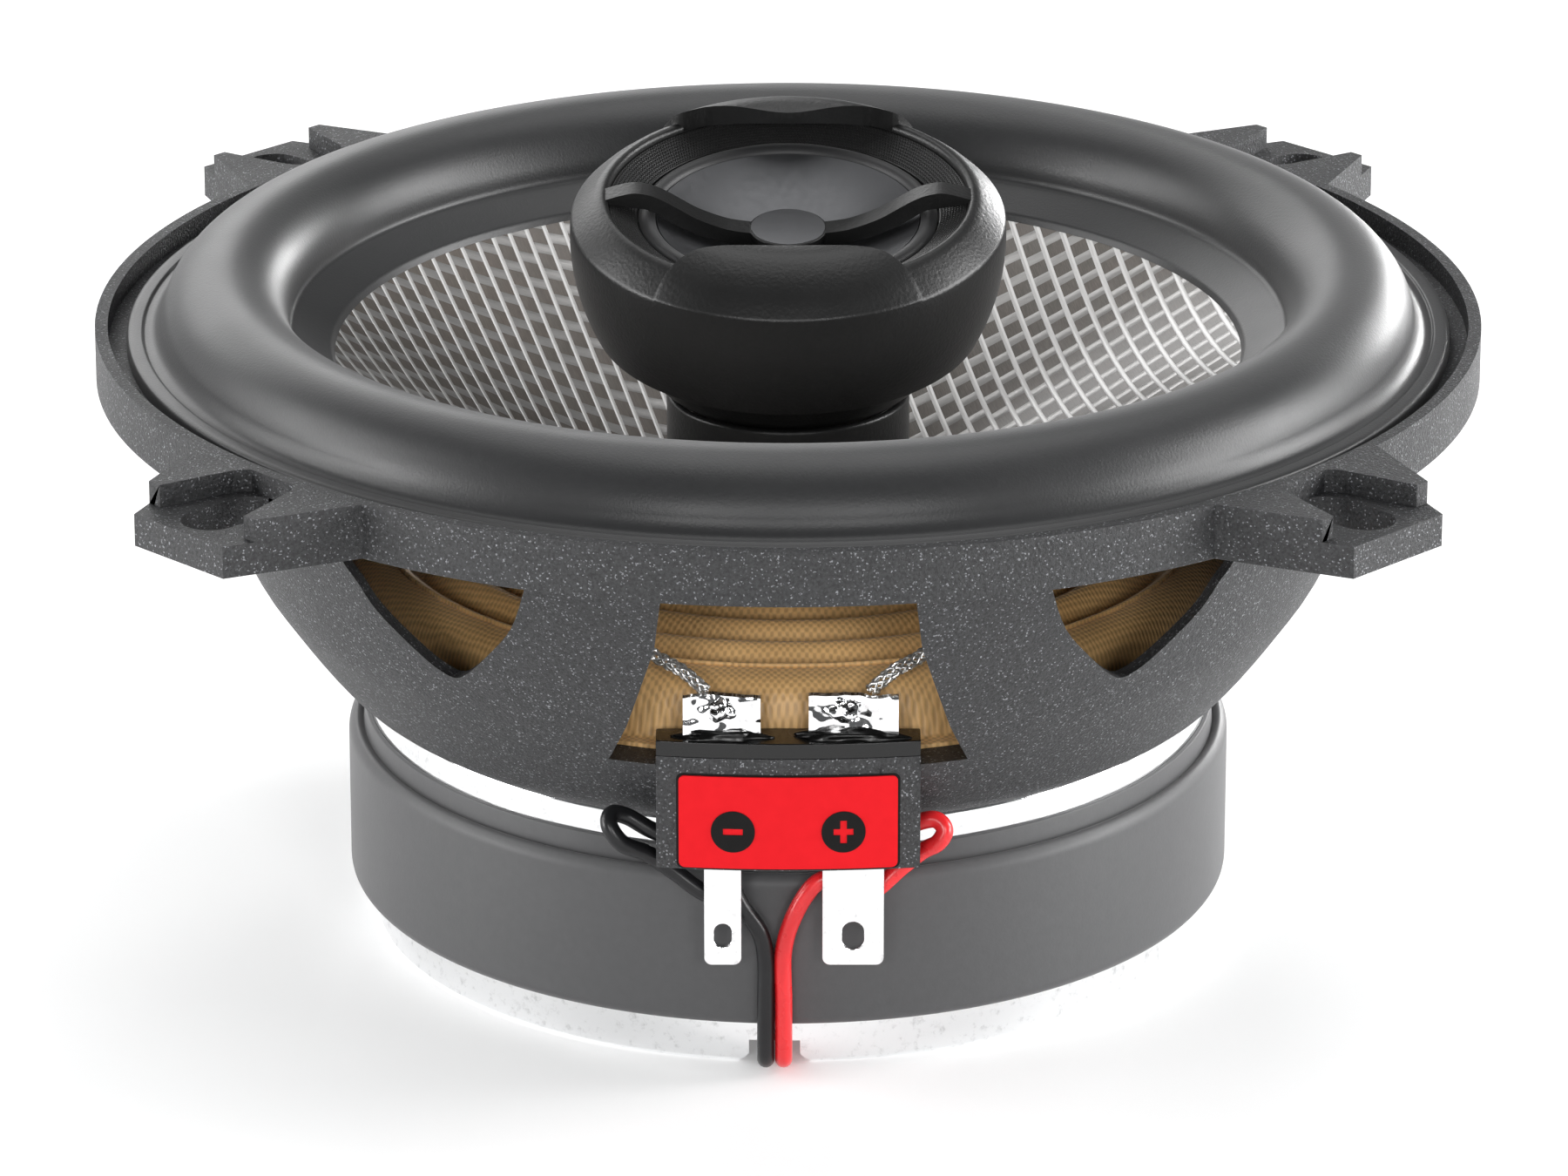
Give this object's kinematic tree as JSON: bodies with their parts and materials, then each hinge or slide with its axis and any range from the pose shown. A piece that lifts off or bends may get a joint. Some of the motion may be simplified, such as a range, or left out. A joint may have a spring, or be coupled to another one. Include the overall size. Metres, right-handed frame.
{
  "type": "coaxial car speaker",
  "caption": "Round four-ear coaxial speaker: woven cone, rubber surround and a swivelling dome tweeter on a centre post, magnet behind.",
  "frame": {"origin": "centre of the flange's rear face, which bears on the panel", "axes": "+Z out of the cone towards the listener; the four mounting ears lie on the X and Y axes; the terminals face halfway between +X and -Y"},
  "size_m": [0.1524, 0.1524, 0.0764],
  "materials": {
    "basket_paint": "charcoal powder coat with fine bright flakes, satin",
    "surround_rubber": "fine matte rubber with a soft sheen",
    "cone_weave": "woven glass fibre: bright bands crossing over grey-brown",
    "spider_cloth": "golden-brown resin-stiffened cotton weave",
    "satin_black": "satin black with a fine moulded grain",
    "mesh_black": "fine perforated black guard",
    "dome_metal": "dark grey anodised, soft matte",
    "dome_rubber": "thin matte surround",
    "boot_rubber": "dark grey matte rubber with faint moulding marks",
    "zinc": "bright zinc plate, slightly wavy",
    "ferrite": "matte sintered ferrite",
    "terminal_tin": "bright tin plate",
    "solder": "bright solder",
    "board": "black phenolic board",
    "label_red": "red label film",
    "mark_black": "black print",
    "wire_black": "soft black wire insulation",
    "wire_red": "soft red wire insulation",
    "tinsel": "braided silver tinsel wire",
    "capacitor_sleeve": "dark blue sleeve",
    "former": "glass-fibre former",
    "copper": "enamelled copper winding",
    "steel": "plain steel",
    "neodymium": "nickel-plated magnet",
    "nylon": "natural nylon"
  },
  "bodies": {
    "frame": {"basket": "basket_paint", "terminal_board": "board", "negative_terminal": "terminal_tin", "positive_terminal": "terminal_tin", "solder_joints": "solder", "polarity_label": "label_red", "polarity_marks": "mark_black", "top_plate": "zinc", "ferrite_magnet": "ferrite", "magnet_boot": "boot_rubber", "pole_yoke": "zinc", "tweeter_post": "satin_black", "swivel_bolt": "steel", "swivel_nut": "steel", "swivel_cup": "nylon", "spring_washer": "steel", "capacitor": "capacitor_sleeve", "capacitor_lead_black": "wire_black", "capacitor_lead_red": "wire_red", "tweeter_lead_black": "wire_black", "tweeter_lead_red": "wire_red", "tinsel_lead_negative": "tinsel", "tinsel_lead_positive": "tinsel"},
    "cone": {"cone": "cone_weave", "surround": "surround_rubber", "spider": "spider_cloth", "coil_former": "former", "voice_coil": "copper"},
    "seat": {"swivel_seat": "nylon"},
    "tweeter": {"tweeter_housing": "satin_black", "tweeter_bezel": "satin_black", "tweeter_mesh": "mesh_black", "tweeter_mount_ring": "satin_black", "tweeter_pot": "steel", "tweeter_magnet": "neodymium", "tweeter_pole_plate": "steel"},
    "dome": {"tweeter_dome": "dome_metal", "dome_surround": "dome_rubber", "tweeter_coil": "copper"}
  },
  "joints": [
    {"name": "cone_travel", "type": "slide", "parent": "frame", "child": "cone", "axis": [0, 0, 1], "range_m": [-0.003, 0.003], "stiffness_N_per_m": 2500, "deforming": ["surround", "spider", "tinsel_lead_negative", "tinsel_lead_positive"]},
    {"name": "tweeter_turn", "type": "hinge", "parent": "frame", "child": "seat", "pos_m": [0, 0, 0.0127], "axis": [0, 0, 1], "range_deg": [-90, 90]},
    {"name": "tweeter_tilt", "type": "hinge", "parent": "seat", "child": "tweeter", "pos_m": [0, 0, 0.0127], "axis": [0.7071, 0.7071, 0], "range_deg": [-22, 2]},
    {"name": "dome_travel", "type": "slide", "parent": "tweeter", "child": "dome", "axis": [0.1228, -0.1228, 0.9848], "range_m": [-0.0002, 0.0002], "stiffness_N_per_m": 3000, "deforming": ["dome_surround"]}
  ]
}
